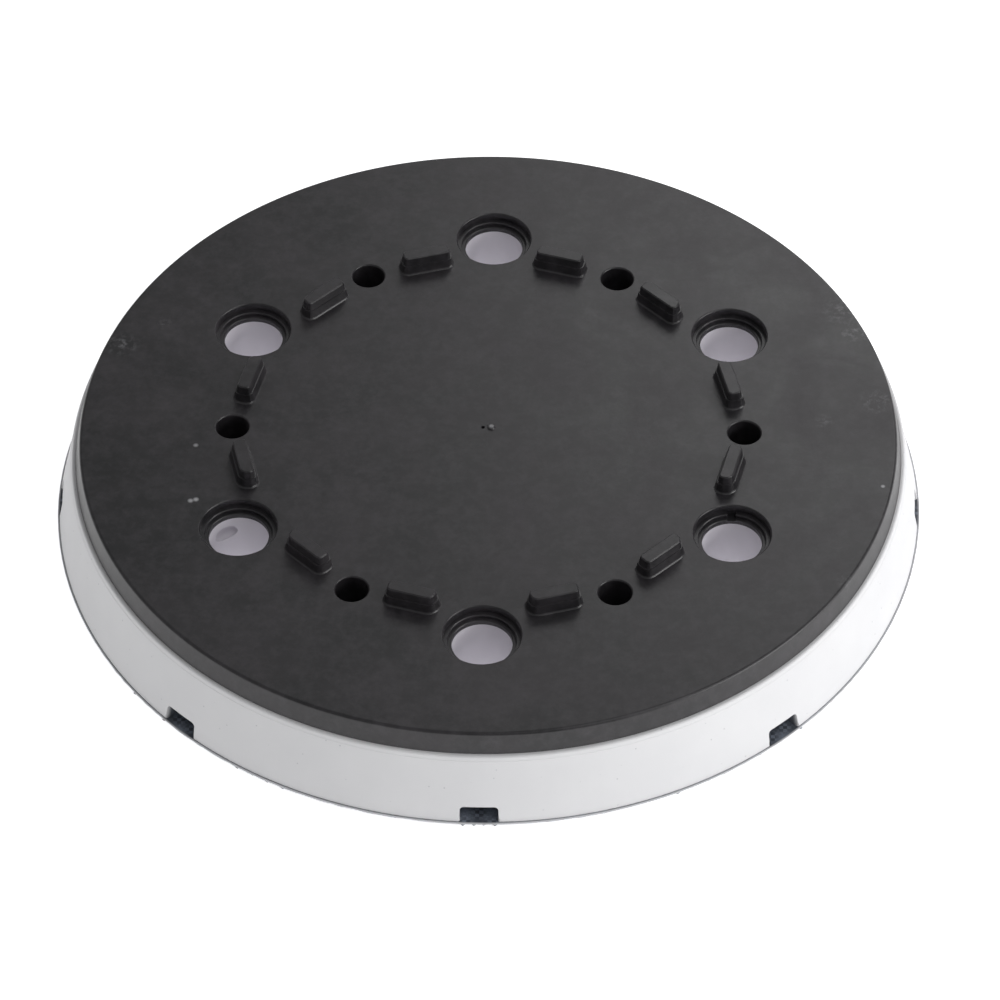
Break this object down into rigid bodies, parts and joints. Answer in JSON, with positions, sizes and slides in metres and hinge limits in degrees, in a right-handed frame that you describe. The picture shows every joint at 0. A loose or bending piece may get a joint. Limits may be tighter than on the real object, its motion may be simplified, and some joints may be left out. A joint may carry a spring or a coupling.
{
  "type": "orbital sander backing pad",
  "caption": "Round hook-faced backing pad for an orbital sander: black moulded plate with driving lugs and dust ports over a pale foam body with edge air channels.",
  "frame": {"origin": "centre of the pad's lowest plane, where the tips of the hooks meet the abrasive disc", "axes": "+Z along the pad's axis, from the abrasive side towards the machine; a dust port lies on +Y and on -Y, and a screw hole on +X and on -X"},
  "size_m": [0.15, 0.15, 0.0211],
  "materials": {
    "moulded_nylon": "satin glass-filled nylon moulding with fine flow marks",
    "foam": "matt integral skin of moulded polyurethane foam",
    "film": "thin hot-melt film over the dark base cloth",
    "hook_cloth": "woven nylon base cloth",
    "hooks": "pale translucent nylon hooks"
  },
  "bodies": {
    "root": {"backing_plate": "moulded_nylon", "foam_body": "foam", "adhesive_film": "film", "hook_base_cloth": "hook_cloth", "hook_pile": "hooks"}
  },
  "joints": []
}
